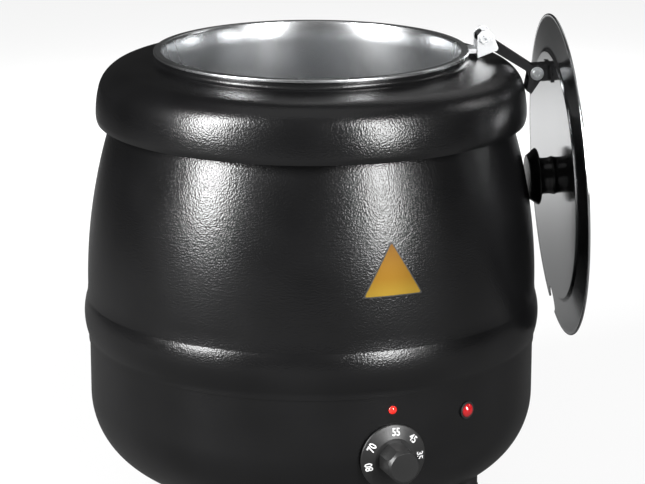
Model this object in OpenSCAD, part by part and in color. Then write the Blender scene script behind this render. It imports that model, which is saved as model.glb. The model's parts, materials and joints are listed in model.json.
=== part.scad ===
// Countertop soup kettle: a coated sheet-steel body with a heated water well,
// a lift-out stainless pot and a pressed lid on a two-pivot hinge.
// Frame: origin on the kettle's axis at the level it stands on, +Z up, dial towards -Y.
// Azimuths are measured from -Y towards +X.

/* [Body] */
// Height of the bowl's underside above the table
foot_h = 15; // [12:1:20]
// Gap between the water well and the bowl's wall
body_gap = 43; // [40:0.5:48]
// Radius of the bowl's rounded bottom edge
bowl_round = 60; // [50:1:65]
// Height of the lower bowl from its underside to the seam
bowl_h = 102.2; // [96:0.2:110]
// How much shorter the barrel is than the pot
barrel_less = 94.8; // [90:0.2:100]
// How far the barrel's widest point stands out past the bowl
barrel_out = 0.7; // [0.4:0.1:3]
// How far the barrel draws in towards its top
barrel_in = 19.8; // [16:0.1:22]
// How far the rolled bead stands out past the barrel
bead_out = 3; // [2.4:0.1:6]
// Radius of the bead's curve
bead_curve_r = 45; // [35:1:60]
// Thickness of the body's sheet steel
sheet_t = 1.2; // [0.8:0.1:1.6]

/* [Shoulder and collar] */
// How far the shoulder's widest point stands in from the barrel's
shoulder_in = 8.3; // [6:0.1:10]
// Radius of the shoulder's side curve
shoulder_side_r = 78; // [60:1:90]
// Turn of the side curve before the corner in degrees
shoulder_turn = 14.5; // [10:0.5:18]
// Radius of the shoulder's corner
shoulder_round = 21.8; // [18:0.2:26]
// Height of the shoulder's widest point above its lower edge
shoulder_drop = 5; // [3:0.5:8]
// Radius of the shoulder's rounded lower edge
shoulder_hem = 15; // [12:1:20]
// Slope of the shoulder's top in degrees
shoulder_slope = 7.2; // [6:0.2:10]
// How far the pot's rim stands out past the collar
rim_over = 1.6; // [1.2:0.1:2.4]
// Thickness of the collar's wall
collar_t = 2.6; // [1.6:0.1:2.8]
// Visible height of the collar
collar_h = 5; // [4.4:0.2:8]

/* [Well and heater] */
// Gap between the pot and the well's wall
well_gap = 15; // [12:0.5:16]
// Depth of water below the pot
water_depth = 21; // [15:1:24]
// Radius of the well's bottom corner
well_corner = 15; // [8:1:20]
// Thickness of the insulation blanket
blanket_t = 12; // [6:1:16]
// Radius of the heater ring
heater_ring_r = 70; // [50:1:76]
// Radius of the heater tube
heater_tube_r = 4; // [3:0.5:5]

/* [Pot] */
// Width of the pot's rolled rim
rim_w = 9; // [8.6:0.1:10]
// Thickness of the pot's rolled rim
rim_t = 2.5; // [2:0.1:3.2]
// Inner radius of the pot
pot_r = 108; // [100:0.5:112]
// Depth of the pot below its rim
pot_depth = 262; // [240:1:264]
// Radius of the pot's bottom corner
pot_corner = 20; // [10:1:40]
// Thickness of the pot's wall
pot_t = 1; // [0.8:0.1:1.2]

/* [Lid] */
// How far the lid stands out past the pot's rim
lid_over = 5; // [4.6:0.1:5.4]
// Width of the sloped border round the raised panel
lid_border = 27.5; // [25:0.5:32]
// Height of the raised panel above the pot's rim
lid_panel_h = 6.7; // [6:0.1:7.2]
// Thickness of the lid's sheet
lid_t = 1; // [0.8:0.1:1.2]
// Width of the ladle notch
notch_w = 22; // [16:1:28]
// Depth of the ladle notch
notch_depth = 16; // [12:1:22]
// Angle of the ladle notch from the side opposite the hinge
notch_az = 19.5; // [0:0.5:60]
// Radius of the knob's head
knob_r = 21.5; // [18:0.5:23]
// Length of the knob
knob_h = 19.2; // [17:0.1:19.4]

/* [Hinge] */
// Azimuth of the hinge
hinge_az = 75.3; // [60:0.1:100]
// Distance of the rim pivot outside the lid's edge
rim_pivot_out = 6; // [5.5:0.5:7]
// Height of the rim pivot above the pot's rim
rim_pivot_h = 6; // [6:0.5:7]
// Distance of the lid pivot inside the lid's edge
lid_pivot_in = 41; // [40:0.5:44]
// Height of the lid pivot above the pot's rim with the lid closed
lid_pivot_h = 17.4; // [17:0.2:19]
// Direction of the link with the lid open, in degrees above level
link_open = -33.5; // [-35:0.5:-32]
// Lean of the open lid towards the kettle in degrees
lid_lean = 3; // [2:0.2:3.4]
// Width over the clip's cheeks
clip_w = 20; // [18:0.5:24]
// Thickness of the hinge's sheet
hinge_t = 1.5; // [1:0.1:1.6]
// Radius of the pivot bolts
pivot_r = 2; // [1.5:0.1:2.2]

/* [Controls] */
// Height of the dial's axis
dial_z = 72; // [68:0.5:80]
// Outer radius of the dial's skirt
dial_r = 24.5; // [20:0.5:26]
// Length of the dial from skirt to grip front
dial_h = 24; // [18:0.5:28]
// Radius over the corners of the grip
grip_r = 12.6; // [10:0.1:14]
// Radius of the thermostat's shaft
shaft_r = 3; // [2.5:0.1:3.2]
// Azimuth of the pilot lamp
lamp_az = 21.6; // [18:0.2:40]
// Height of the pilot lamp
lamp_z = 96; // [90:0.5:104]
// Radius of the pilot lamp's lens
lamp_r = 5; // [4:0.1:6]
// Height of the index jewel
jewel_z = 107; // [104:0.5:110]
// Radius of the index jewel
jewel_r = 3; // [2:0.1:4]
// Height of the cord gland
gland_z = 85; // [80:0.5:100]
// Radius of the bore for the cord
gland_bore_r = 4; // [3:0.1:4.6]

/* [Feet and bottom] */
// Distance of the feet inside the bowl's wall
foot_in = 41; // [38:0.5:48]
// Radius of a foot
foot_r = 10.5; // [8:0.5:12]
// Distance of the bottom opening inside the circle of the feet
hatch_in = 39; // [36:1:50]
// Number of screws in the bottom cover
cover_screws = 6; // [3:1:8]

/* [Hidden] */

// Colours
BLACK_COAT = "#1b1b1c";
BLACK_PLASTIC = "#101010";
BRIGHT_STEEL = "#d3d5d7";
DARK_STEEL = "#55575a";
ALUMINIUM = "#b4b7ba";
RED_LENS = "#c01818";
WOOL = "#d8cfae";
RUBBER = "#1c1c1c";
SILICONE = "#a8402c";
CREAM = "#e6e0cf";
COPPER = "#b87333";

// Clearances
seat_gap = 0.3;
fit_gap = 0.05;
slip_gap = 0.1;
tight_gap = 0.2;

// Facets of round forms
fn_big = 144;
fn_mid = 64;
fn_small = 32;

// Radii that follow from the pot
well_t = 1;
rim_r = pot_r + rim_w;
collar_r = rim_r - rim_over;
well_r = pot_r + pot_t + well_gap;
bowl_r = well_r + well_t + body_gap;
barrel_r = bowl_r + barrel_out;
shoulder_r = barrel_r - shoulder_in;
lid_r = rim_r + lid_over;
lid_panel_r = lid_r - lid_border;
rim_pivot_r = lid_r + rim_pivot_out;
lid_pivot_x = lid_r - lid_pivot_in;
foot_circle_r = bowl_r - foot_in;
hatch_r = foot_circle_r - hatch_in;

// Heights above the table
barrel_h = pot_depth - barrel_less;
bowl_centre_z = foot_h + bowl_round;
seam_z = foot_h + bowl_h;
edge_z = seam_z + barrel_h;
barrel_mid_z = seam_z + 42.8;
barrel_curve_r = (pow(edge_z - barrel_mid_z, 2) + barrel_in * barrel_in) / (2 * barrel_in);
bead_z = seam_z + 20.3;
shoulder_z = edge_z + shoulder_drop;
shoulder_side_c = [shoulder_r - shoulder_side_r, shoulder_z];
shoulder_c = shoulder_side_c
  + (shoulder_side_r - shoulder_round) * [cos(shoulder_turn), sin(shoulder_turn)];
shoulder_hem_c = [shoulder_r - shoulder_hem, shoulder_z];

// Top of the shoulder at radius r
function shoulder_top(r) = shoulder_c[1] + shoulder_round * cos(shoulder_slope)
  + (shoulder_c[0] + shoulder_round * sin(shoulder_slope) - r) * tan(shoulder_slope);
// Underside of the shoulder at radius r
function shoulder_under(r) = shoulder_top(r) - sheet_t / cos(shoulder_slope);
// Outer radius of the barrel at height z
function barrel_at(z) = barrel_r - barrel_curve_r
  + sqrt(barrel_curve_r * barrel_curve_r - (z - barrel_mid_z) * (z - barrel_mid_z));
// Height of the bowl's outer surface at radius r
function bowl_under(r) = bowl_centre_z
  - sqrt(bowl_round * bowl_round - pow(max(0, r - bowl_r + bowl_round), 2));

collar_foot_z = shoulder_top(collar_r);
collar_top_z = collar_foot_z + collar_h;
rim_under_z = collar_top_z + seat_gap;
rim_z = rim_under_z + rim_t;
pot_floor_z = rim_z - pot_depth;
well_floor_z = pot_floor_z - pot_t - water_depth;
deck_z = shoulder_under(well_r + 10) - 2.4;
flange_out = 10;

// Points along a circle from angle a0 to a1 in n steps
function arc(c, r, a0, a1, n) =
  [for (i = [0:n]) let (a = a0 + (a1 - a0) * i / n) [c[0] + r * cos(a), c[1] + r * sin(a)]];
// A list in reverse order
function flip(v) = [for (i = [len(v) - 1:-1:0]) v[i]];

// Solid of revolution from an outline in radius and height
module turned(points, fn = fn_big) {
  rotate_extrude($fn = fn) polygon(points);
}

// Places children at an azimuth, local +X pointing away from the axis
module at_azimuth(az) {
  rotate([0, 0, az - 90]) children();
}

// Places children on the bowl's wall, local +Z pointing outwards
module on_wall(az, z, r) {
  at_azimuth(az) translate([r, 0, z]) rotate([0, 90, 0]) rotate([0, 0, 90]) children();
}

// Extrudes a side view in X and Z by width w about the XZ plane
module side_view(w) {
  rotate([90, 0, 0]) linear_extrude(height = w, center = true) children();
}

// ---------------------------------------------------------------- Body shells

lip_r = bowl_r + 0.8;
lip_h = 2.3;
joggle = lip_r - sheet_t - seat_gap;
joggle_h = 15;
bead_c = [barrel_r + bead_out - bead_curve_r, bead_z];
bead_low_a = -asin((bead_z - seam_z - 4.3) / bead_curve_r);
bead_high_a = asin(14.6 / bead_curve_r);
barrel_c = [barrel_r - barrel_curve_r, barrel_mid_z];
barrel_low_a = -asin(1.5 / barrel_curve_r);
barrel_high_a = asin((edge_z - barrel_mid_z) / barrel_curve_r);
deck_round = 10;
deck_corner_r = barrel_at(edge_z) - 3.1;

// Line of the upper shell, t inside its outer face
function shell_line(t) = concat(
  [[lip_r - t, seam_z], [lip_r - t, seam_z + lip_h]],
  arc(bead_c, bead_curve_r - t, bead_low_a, bead_high_a, 12),
  arc(barrel_c, barrel_curve_r - t, barrel_low_a, barrel_high_a, 16),
  arc([deck_corner_r - deck_round, deck_z - deck_round], deck_round - t, 0, 90, 6),
  [[well_r + well_t + 1.5, deck_z - t]]
);

module upper_shell() color(BLACK_COAT) {
  turned(concat(shell_line(0), flip(shell_line(sheet_t))));
}

// Line of the lower bowl, t inside its outer face
function bowl_line(t) = concat(
  [[hatch_r, foot_h + t]],
  arc([bowl_r - bowl_round, bowl_centre_z], bowl_round - t, -90, 0, 18),
  [[bowl_r - t, seam_z - t], [joggle - t, seam_z - t], [joggle - t, seam_z + joggle_h]]
);
lamp_hole_r = lamp_r - 0.25;
jewel_stem_r = jewel_r * 0.65;
gland_neck_r = gland_bore_r + 2.5;
bush_r = shaft_r + 1.7;
foot_screw_r = 2;
cover_screw_r = 1.5;
cover_screw_circle = hatch_r + 5;

module lower_bowl() color(BLACK_COAT) {
  difference() {
    turned(concat(bowl_line(0), flip(bowl_line(sheet_t))));
    on_wall(0, dial_z, bowl_r - 20) cylinder(r = bush_r + slip_gap, h = 30, $fn = fn_small);
    on_wall(lamp_az, lamp_z, bowl_r - 20) cylinder(r = lamp_hole_r + slip_gap, h = 30, $fn = fn_small);
    on_wall(0, jewel_z, bowl_r - 20) cylinder(r = jewel_stem_r + slip_gap, h = 30, $fn = fn_small);
    on_wall(180, gland_z, bowl_r - 20) cylinder(r = gland_neck_r + slip_gap, h = 30, $fn = fn_small);
    for (i = [0:3]) at_azimuth(45 + 90 * i) translate([foot_circle_r, 0, foot_h - 5])
      cylinder(r = foot_screw_r + slip_gap, h = 30, $fn = fn_small);
    for (i = [0:cover_screws - 1]) rotate([0, 0, 360 * i / cover_screws])
      translate([cover_screw_circle, 0, foot_h - 5])
        cylinder(r = cover_screw_r + slip_gap, h = 15, $fn = fn_small);
  }
}

// Line of the shoulder cover, t inside its outer face
function shoulder_line(t) = concat(
  [[collar_r + slip_gap, shoulder_top(collar_r + slip_gap) - t / cos(shoulder_slope)]],
  arc(shoulder_c, shoulder_round - t, 90 - shoulder_slope, shoulder_turn, 12),
  arc(shoulder_side_c, shoulder_side_r - t, shoulder_turn * 0.8, 0, 4),
  arc(shoulder_hem_c, shoulder_hem - t, -5, -asin((shoulder_drop - t) / (shoulder_hem - t)), 4),
  [[barrel_at(edge_z) + seat_gap, edge_z + t]]
);

module shoulder_cover() color(BLACK_COAT) {
  turned(concat(shoulder_line(0), flip(shoulder_line(sheet_t))));
}

collar_cove = 2.8;
collar_foot_t = 0.6;
collar_tail = 4.5;

module collar_ring() color(BLACK_COAT) {
  foot_out = collar_r + collar_cove;
  foot_top = shoulder_top(foot_out) + collar_foot_t;
  turned(concat(
    [[collar_r - collar_t, collar_foot_z - collar_tail], [collar_r, collar_foot_z - collar_tail]],
    [[collar_r, collar_foot_z], [foot_out, shoulder_top(foot_out)]],
    arc([foot_out, foot_top + collar_cove], collar_cove, 270, 180, 5),
    [[collar_r, collar_top_z - 0.5], [collar_r - 0.5, collar_top_z]],
    [[collar_r - collar_t + 0.5, collar_top_z], [collar_r - collar_t, collar_top_z - 0.5]]
  ));
}

// ---------------------------------------------------------------- Well and heater

// Line of the water well, t outside its inner face
function well_line(t) = concat(
  [[0, well_floor_z - t]],
  arc([well_r - well_corner, well_floor_z + well_corner], well_corner + t, -90, 0, 8),
  [[well_r + t, deck_z + well_t - t], [well_r + flange_out, deck_z + well_t - t]]
);

stud_r = 3;
clamp_t = 3;
clamp_w = 20;
clamp_over = 4;
heater_pin = 5;
plate_t = 3;
plate_r = heater_ring_r + 12;
well_under_z = well_floor_z - well_t;
plate_z = well_under_z - plate_t;
tube_z = plate_z - fit_gap - heater_tube_r;
clamp_z = tube_z - heater_tube_r - fit_gap - clamp_t;

module water_well() color(BRIGHT_STEEL) {
  turned(concat(well_line(0), flip(well_line(well_t))));
  translate([0, 0, clamp_z - 5]) cylinder(r = stud_r, h = well_under_z - clamp_z + 5.4, $fn = fn_small);
}

module well_gasket() color(SILICONE) {
  inner = well_r + 3;
  outer = well_r + flange_out - 1;
  turned([
    [inner, deck_z + well_t],
    [outer, deck_z + well_t],
    [outer, shoulder_under(outer)],
    [inner, shoulder_under(inner)]
  ]);
}

module insulation_blanket() color(WOOL) {
  inner = well_r + well_t + tight_gap;
  low = jewel_z + jewel_r + 4;
  high = deck_z - deck_round - 8;
  turned([[inner, low], [inner + blanket_t, low], [inner + blanket_t, high], [inner, high]], 96);
}

module heater_plate() color(ALUMINIUM) {
  translate([0, 0, plate_z]) difference() {
    cylinder(r = plate_r, h = plate_t, $fn = 96);
    translate([0, 0, -1]) cylinder(r = stud_r + slip_gap, h = plate_t + 2, $fn = fn_small);
  }
}

module heater_element() color(DARK_STEEL) {
  gap_a = 24;
  leg = 2.5 * heater_tube_r;
  translate([0, 0, tube_z]) {
    rotate([0, 0, 90 + gap_a / 2]) rotate_extrude(angle = 360 - gap_a, $fn = 72)
      translate([heater_ring_r, 0]) circle(r = heater_tube_r, $fn = 24);
    for (side = [-1, 1]) rotate([0, 0, 90 + side * (gap_a / 2 + 4)]) translate([heater_ring_r, 0, 0]) {
      translate([0, 0, -leg]) cylinder(r = heater_tube_r - 0.8, h = leg, $fn = 24);
      translate([0, 0, -leg - heater_pin]) cylinder(r = 0.4 * heater_tube_r, h = heater_pin + 1, $fn = 16);
    }
  }
}

module heater_clamp() color(DARK_STEEL) {
  half = heater_ring_r + heater_tube_r + clamp_over;
  translate([0, 0, clamp_z]) difference() {
    translate([-half, -clamp_w / 2, 0]) cube([2 * half, clamp_w, clamp_t]);
    translate([0, 0, -1]) cylinder(r = stud_r + slip_gap, h = clamp_t + 2, $fn = fn_small);
  }
}

module hex_nut(bore, across, h) {
  difference() {
    cylinder(d = across / cos(30), h = h, $fn = 6);
    translate([0, 0, -1]) cylinder(r = bore, h = h + 2, $fn = fn_small);
  }
}

module clamp_nut() color(BRIGHT_STEEL) {
  translate([0, 0, clamp_z - 4]) hex_nut(stud_r + fit_gap, 10, 4);
}

module thermal_cutout() color(CREAM) {
  translate([0, -34, plate_z - 9]) {
    cylinder(r = 8, h = 9, $fn = fn_small);
    for (side = [-1, 1]) translate([-0.4, side * 4 - 2.5, -6]) cube([0.8, 5, 7]);
  }
}

// ---------------------------------------------------------------- Controls

face_r = bowl_r + 0.5;
box_face = 6.6;
box_depth = 30;
box_w = 30;
box_h = 30;
shaft_in = 16;

// Local +Z of the dial points outwards, its zero is just off the wall
module dial_frame() {
  on_wall(0, dial_z, face_r) children();
}

module thermostat_body() color(CREAM) {
  dial_frame() difference() {
    union() {
      translate([-box_w / 2, -box_h / 2, -box_face - box_depth - 0.5]) cube([box_w, box_h, box_depth]);
      translate([0, 0, -box_face - 1.5]) cylinder(r = bush_r, h = box_face + 3.2, $fn = fn_small);
    }
    translate([0, 0, -box_face - shaft_in]) cylinder(r = shaft_r + fit_gap, h = shaft_in + box_face + 5, $fn = fn_small);
  }
}

module thermostat_nut() color(BRIGHT_STEEL) {
  dial_frame() translate([0, 0, -0.4]) hex_nut(bush_r + fit_gap, 2 * bush_r + 4, 1.9);
}

bulb_az = 34;
bulb_r = 3;
bulb_low = well_floor_z + 6;
bulb_len = 48;

module sensor_bulb() color(COPPER) {
  at_azimuth(bulb_az) translate([well_r + well_t + slip_gap + bulb_r, 0, bulb_low])
    cylinder(r = bulb_r, h = bulb_len, $fn = fn_small);
  at_azimuth(bulb_az) translate([well_r + well_t + slip_gap + bulb_r, 0, bulb_low - 8])
    cylinder(r = 1, h = 9, $fn = 16);
}

module terminal_block() color(CREAM) {
  at_azimuth(180) translate([bowl_r - bowl_round - 17.5, -18, foot_h + sheet_t]) difference() {
    cube([15, 36, 17]);
    for (i = [-1:1]) {
      translate([7.5, 18 + i * 11, 4]) cylinder(r = 2.2, h = 20, $fn = fn_small);
      translate([-1, 18 + i * 11, 8]) rotate([0, 90, 0]) cylinder(r = 1.8, h = 17, $fn = fn_small);
    }
  }
}

module pilot_lamp_body() color(BLACK_PLASTIC) {
  on_wall(lamp_az, lamp_z, bowl_r) difference() {
    union() {
      translate([0, 0, -24]) cylinder(r = lamp_hole_r, h = 24.6, $fn = fn_small);
      translate([0, 0, seat_gap]) cylinder(r = lamp_r + 1.3, h = 1.1, $fn = fn_mid);
    }
    translate([0, 0, -6]) cylinder(r = lamp_r - 1.4, h = 10, $fn = fn_small);
    translate([0, 0, 0.6]) cylinder(r = lamp_r + fit_gap, h = 3, $fn = fn_small);
  }
}

module pilot_lamp_lens() color(RED_LENS) {
  on_wall(lamp_az, lamp_z, bowl_r) rotate_extrude($fn = fn_mid) polygon(concat(
    [[0, -5], [lamp_r - 1.5, -5], [lamp_r - 1.5, 0.6], [lamp_r, 0.6], [lamp_r, 1.6]],
    arc([0, -1.9], norm([lamp_r, 3.5]), atan2(3.5, lamp_r), 90, 8)
  ));
}

module pilot_lamp_nut() color(BLACK_PLASTIC) {
  on_wall(lamp_az, lamp_z, bowl_r) translate([0, 0, -sheet_t - 3.5])
    hex_nut(lamp_hole_r + fit_gap, 2 * lamp_r + 3, 3);
}

module index_jewel() color(RED_LENS) {
  on_wall(0, jewel_z, bowl_r) rotate_extrude($fn = fn_small) polygon(concat(
    [[0, -6], [jewel_stem_r, -6], [jewel_stem_r, tight_gap], [jewel_r, tight_gap], [jewel_r, 0.6]],
    arc([0, -2.1], norm([jewel_r, 2.7]), atan2(2.7, jewel_r), 90, 6)
  ));
}

gland_out = 10;

module cord_gland() color(BLACK_PLASTIC) {
  on_wall(180, gland_z, bowl_r) difference() {
    union() {
      translate([0, 0, seat_gap]) cylinder(r = gland_neck_r + 3, h = 3, $fn = fn_mid);
      translate([0, 0, seat_gap + 3]) cylinder(r1 = gland_neck_r + 1.5, r2 = gland_neck_r, h = gland_out - 3, $fn = fn_mid);
      translate([0, 0, -10]) cylinder(r = gland_neck_r, h = 11, $fn = fn_mid);
    }
    translate([0, 0, -11]) cylinder(r = gland_bore_r, h = gland_out + 14, $fn = fn_mid);
  }
}

module gland_nut() color(BLACK_PLASTIC) {
  on_wall(180, gland_z, bowl_r) translate([0, 0, -sheet_t - 4.7])
    hex_nut(gland_neck_r + fit_gap, 2 * gland_neck_r + 5, 4);
}

// ---------------------------------------------------------------- Bottom and feet

cover_r = cover_screw_circle + 5;
cover_screw_len = 8;
cover_head_h = 1.8;

module bottom_cover() color(BLACK_COAT) {
  translate([0, 0, foot_h - sheet_t]) difference() {
    cylinder(r = cover_r, h = sheet_t, $fn = fn_big);
    for (i = [0:cover_screws - 1]) rotate([0, 0, 360 * i / cover_screws]) translate([cover_screw_circle, 0, -1])
      cylinder(r = cover_screw_r + slip_gap, h = sheet_t + 2, $fn = fn_small);
  }
}

module bottom_screws() color(BRIGHT_STEEL) {
  for (i = [0:cover_screws - 1]) rotate([0, 0, 360 * i / cover_screws])
    translate([cover_screw_circle, 0, foot_h - sheet_t]) {
      cylinder(r = cover_screw_r, h = cover_screw_len, $fn = 24);
      translate([0, 0, -cover_head_h]) cylinder(r = 2 * cover_screw_r, h = cover_head_h, $fn = 24);
    }
}

foot_seat_z = foot_h - 1.5;
foot_screw_z = foot_h - 1;

// The foot's wall ends under the bowl; a slightly narrower seat follows the bowl's curve.
module foot(i) color(RUBBER) {
  difference() {
    at_azimuth(45 + 90 * i) translate([foot_circle_r, 0, 0]) difference() {
      union() {
        cylinder(r = foot_r, h = foot_seat_z, $fn = fn_mid);
        cylinder(r = foot_r - 0.6, h = bowl_centre_z - 20, $fn = fn_mid);
      }
      translate([0, 0, foot_screw_z]) cylinder(r = foot_screw_r + slip_gap, h = bowl_centre_z, $fn = fn_small);
    }
    turned(concat(
      [[0, foot_h - tight_gap]],
      arc([bowl_r - bowl_round, bowl_centre_z], bowl_round + tight_gap, -90, 0, 18),
      [[0, bowl_centre_z]]
    ));
  }
}

module foot_front_right() { foot(0); }
module foot_back_right() { foot(1); }
module foot_back_left() { foot(2); }
module foot_front_left() { foot(3); }

foot_nut_z = bowl_under(foot_circle_r + 4) + sheet_t + 0.4;

module foot_screws() color(BRIGHT_STEEL) {
  for (i = [0:3]) at_azimuth(45 + 90 * i) translate([foot_circle_r, 0, foot_screw_z + seat_gap])
    cylinder(r = foot_screw_r, h = foot_nut_z + 5 - foot_screw_z, $fn = 24);
}

module foot_nuts() color(BRIGHT_STEEL) {
  for (i = [0:3]) at_azimuth(45 + 90 * i) translate([foot_circle_r, 0, foot_nut_z])
    hex_nut(foot_screw_r + fit_gap, 7, 3.2);
}

// ---------------------------------------------------------------- Pot

flare_z = rim_z - 15;
rim_inner_r = pot_r + 3;

module soup_pot() color(BRIGHT_STEEL) {
  turned(concat(
    [[0, pot_floor_z]],
    arc([pot_r - pot_corner, pot_floor_z + pot_corner], pot_corner, -90, 0, 8),
    [[pot_r, flare_z], [rim_inner_r - 0.6, rim_z - 2.2], [rim_inner_r, rim_z - 0.8], [rim_inner_r + 1, rim_z]],
    [[rim_r - 1.2, rim_z], [rim_r - 0.35, rim_z - 0.35], [rim_r, rim_z - 1.2]],
    [[rim_r, rim_under_z + 0.4], [rim_r - 0.4, rim_under_z], [rim_inner_r + pot_t, rim_under_z]],
    [[pot_r + pot_t, flare_z]],
    flip(arc([pot_r - pot_corner, pot_floor_z + pot_corner], pot_corner + pot_t, -90, 0, 8)),
    [[0, pot_floor_z - pot_t]]
  ));
}

// ---------------------------------------------------------------- Hinge

rim_pivot = [rim_pivot_r, rim_pivot_h];
lid_pivot = [lid_pivot_x, lid_pivot_h];
link_len = norm(lid_pivot - rim_pivot);
lid_pivot_open = rim_pivot + link_len * [cos(link_open), sin(link_open)];
lid_turn = 270 - lid_lean;
link_w = clip_w - 2 * hinge_t - 2 * seat_gap;
bracket_w = link_w - 2 * hinge_t - 0.8;
lid_edge_clear = 0.9;

// Frame of the hinge: +X away from the kettle's axis, Z from the pot's rim
module hinge_frame() {
  at_azimuth(hinge_az) translate([0, 0, rim_z]) children();
}

// Frame of the link: +X from the rim pivot to the lid pivot
module link_frame() {
  hinge_frame() translate([rim_pivot[0], 0, rim_pivot[1]]) rotate([0, -link_open, 0]) children();
}

// Frame of the lid: drawn closed on the pot, placed open
module lid_frame() {
  hinge_frame() translate([lid_pivot_open[0], 0, lid_pivot_open[1]]) rotate([0, lid_turn, 0])
    translate([-lid_pivot[0], 0, -lid_pivot[1]]) children();
}

module pin_hole(at, r, w) {
  translate([at[0], 0, at[1]]) rotate([90, 0, 0]) cylinder(r = r, h = w, center = true, $fn = fn_small);
}

// Side view of one cheek of the clip, about the rim pivot
clip_left = lid_r + lid_edge_clear - rim_pivot_r;
clip_low = shoulder_top(rim_pivot_r + clip_left) + 0.7 - rim_z - rim_pivot_h;

module clip_cheek() {
  polygon(concat(
    [[clip_left, clip_low], [7.6, clip_low + 4.8]],
    arc([8, clip_low + 7.4], 2.6, -60, 10, 3),
    arc([0.4, 0], 7, 20, 110, 6),
    [[clip_left, 2.8]]
  ));
}

module rim_clip() color(BRIGHT_STEEL) {
  difference() {
    union() {
      hinge_frame() translate([rim_pivot[0], 0, rim_pivot[1]]) {
        for (side = [-1, 1]) translate([0, side * (clip_w - hinge_t) / 2, 0]) side_view(hinge_t) clip_cheek();
        side_view(clip_w - hinge_t) polygon([
          [clip_left, clip_low], [clip_left + hinge_t, clip_low],
          [clip_left + hinge_t, -rim_pivot_h - 1.4], [clip_left, -rim_pivot_h - 1.4]
        ]);
      }
      hinge_frame() translate([collar_r + 0.5, -clip_w / 2 + hinge_t, -rim_t - 2.2])
        cube([rim_pivot_r + clip_left + 0.4 - collar_r - 0.5, clip_w - 2 * hinge_t, rim_t + 0.8]);
    }
    translate([0, 0, rim_under_z]) cylinder(r = rim_r, h = 10, $fn = fn_big);
    translate([0, 0, rim_under_z - 10]) cylinder(r = collar_r + 0.5, h = 20, $fn = fn_big);
    hinge_frame() pin_hole(rim_pivot, pivot_r + fit_gap, clip_w + 2);
  }
}

// Pan-head bolt along Y with its head on the side of -Y
module cross_bolt(at, r, head_at, tail_at, head_r, head_h) {
  translate([at[0], head_at, at[1]]) rotate([-90, 0, 0]) difference() {
    union() {
      cylinder(r = r, h = tail_at - head_at, $fn = fn_small);
      translate([0, 0, -head_h]) cylinder(r1 = head_r * 0.86, r2 = head_r, h = head_h, $fn = fn_small);
    }
    translate([0, 0, -head_h - 1]) cylinder(d = head_r * 0.9, h = 2.2, $fn = 6);
  }
}

module cross_nut(at, bore, across, from, h) {
  translate([at[0], from, at[1]]) rotate([-90, 0, 0]) hex_nut(bore, across, h);
}

nut_h = 3.2;

module clip_bolt() color(BRIGHT_STEEL) {
  hinge_frame() cross_bolt(rim_pivot, pivot_r, -clip_w / 2, clip_w / 2 + nut_h + 0.8, 3.5, 2.2);
}

module clip_nut() color(BRIGHT_STEEL) {
  hinge_frame() cross_nut(rim_pivot, pivot_r + fit_gap, 7, clip_w / 2, nut_h);
}

link_top = 3.2;
link_low = 2.8;
leg_len = 15.2;
bracket_clear = 8.4;

// Side view of the link, rim pivot at the origin
module link_side() {
  polygon(concat(
    arc([0, 0], 5, 90 + 40, 270 - 34, 6),
    [[link_len - 4.2, -link_low], [link_len + 1.2, -leg_len], [link_len + 5.4, -leg_len]],
    arc([link_len, 0], 5.6, -14, 90 - 20, 5),
    [[link_len - 2, link_top], [6, link_top]]
  ));
}

module hinge_link() color(BRIGHT_STEEL) {
  link_frame() difference() {
    union() {
      for (side = [-1, 1]) translate([0, side * (link_w - hinge_t) / 2, 0]) side_view(hinge_t) link_side();
      side_view(link_w - hinge_t) polygon([
        [9.5, link_top - hinge_t], [link_len - bracket_clear, link_top - hinge_t],
        [link_len - bracket_clear, link_top], [9.5, link_top]
      ]);
      side_view(link_w - hinge_t) polygon([
        [link_len - 1.8, -8.2], [link_len + 1.2, -leg_len],
        [link_len + 1.2 + hinge_t, -leg_len], [link_len - 0.3, -8.2]
      ]);
    }
    pin_hole([0, 0], pivot_r + fit_gap, link_w + 2);
    pin_hole([link_len, 0], pivot_r + fit_gap, link_w + 2);
  }
}

// ---------------------------------------------------------------- Lid

bracket_hi = 5.8;
bracket_lo = 6.6;
bracket_tip = 6.2;
bracket_cut = 4;
bracket_foot = 7;

// Side view of one cheek of the bracket in the lid's frame
module bracket_cheek() {
  px = lid_pivot[0];
  pz = lid_pivot[1];
  polygon(concat(
    [[px - bracket_lo, lid_panel_h], [px + bracket_hi, lid_panel_h], [px + bracket_hi, pz + bracket_tip - bracket_cut]],
    [[px + bracket_hi - bracket_cut, pz + bracket_tip]],
    arc([px, pz], bracket_tip, 90, 180, 6),
    [[px - bracket_lo, pz - 4]]
  ));
}

module lid_bracket() color(BRIGHT_STEEL) {
  px = lid_pivot[0];
  pz = lid_pivot[1];
  lid_frame() difference() {
    union() {
      for (side = [-1, 1]) translate([0, side * (bracket_w - hinge_t) / 2, 0]) side_view(hinge_t) bracket_cheek();
      side_view(bracket_w - hinge_t) polygon([
        [px + bracket_hi - hinge_t, lid_panel_h], [px + bracket_hi, lid_panel_h],
        [px + bracket_hi, pz + bracket_tip - bracket_cut], [px + bracket_hi - bracket_cut, pz + bracket_tip],
        [px + bracket_hi - bracket_cut - hinge_t, pz + bracket_tip - 0.6],
        [px + bracket_hi - hinge_t, pz + bracket_tip - bracket_cut - 0.6]
      ]);
      for (side = [-1, 1]) translate([px - bracket_lo, side * (bracket_w + bracket_foot) / 2 - (bracket_foot + 1) / 2, lid_panel_h])
        cube([bracket_lo + bracket_hi, bracket_foot + 1, hinge_t]);
    }
    pin_hole(lid_pivot, pivot_r + fit_gap, bracket_w + 2);
  }
}

lid_slope_out = lid_r - 3;
lid_edge_z = 2.6;
bead_round = 0.9;
knob_screw_r = 2.4;

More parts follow.
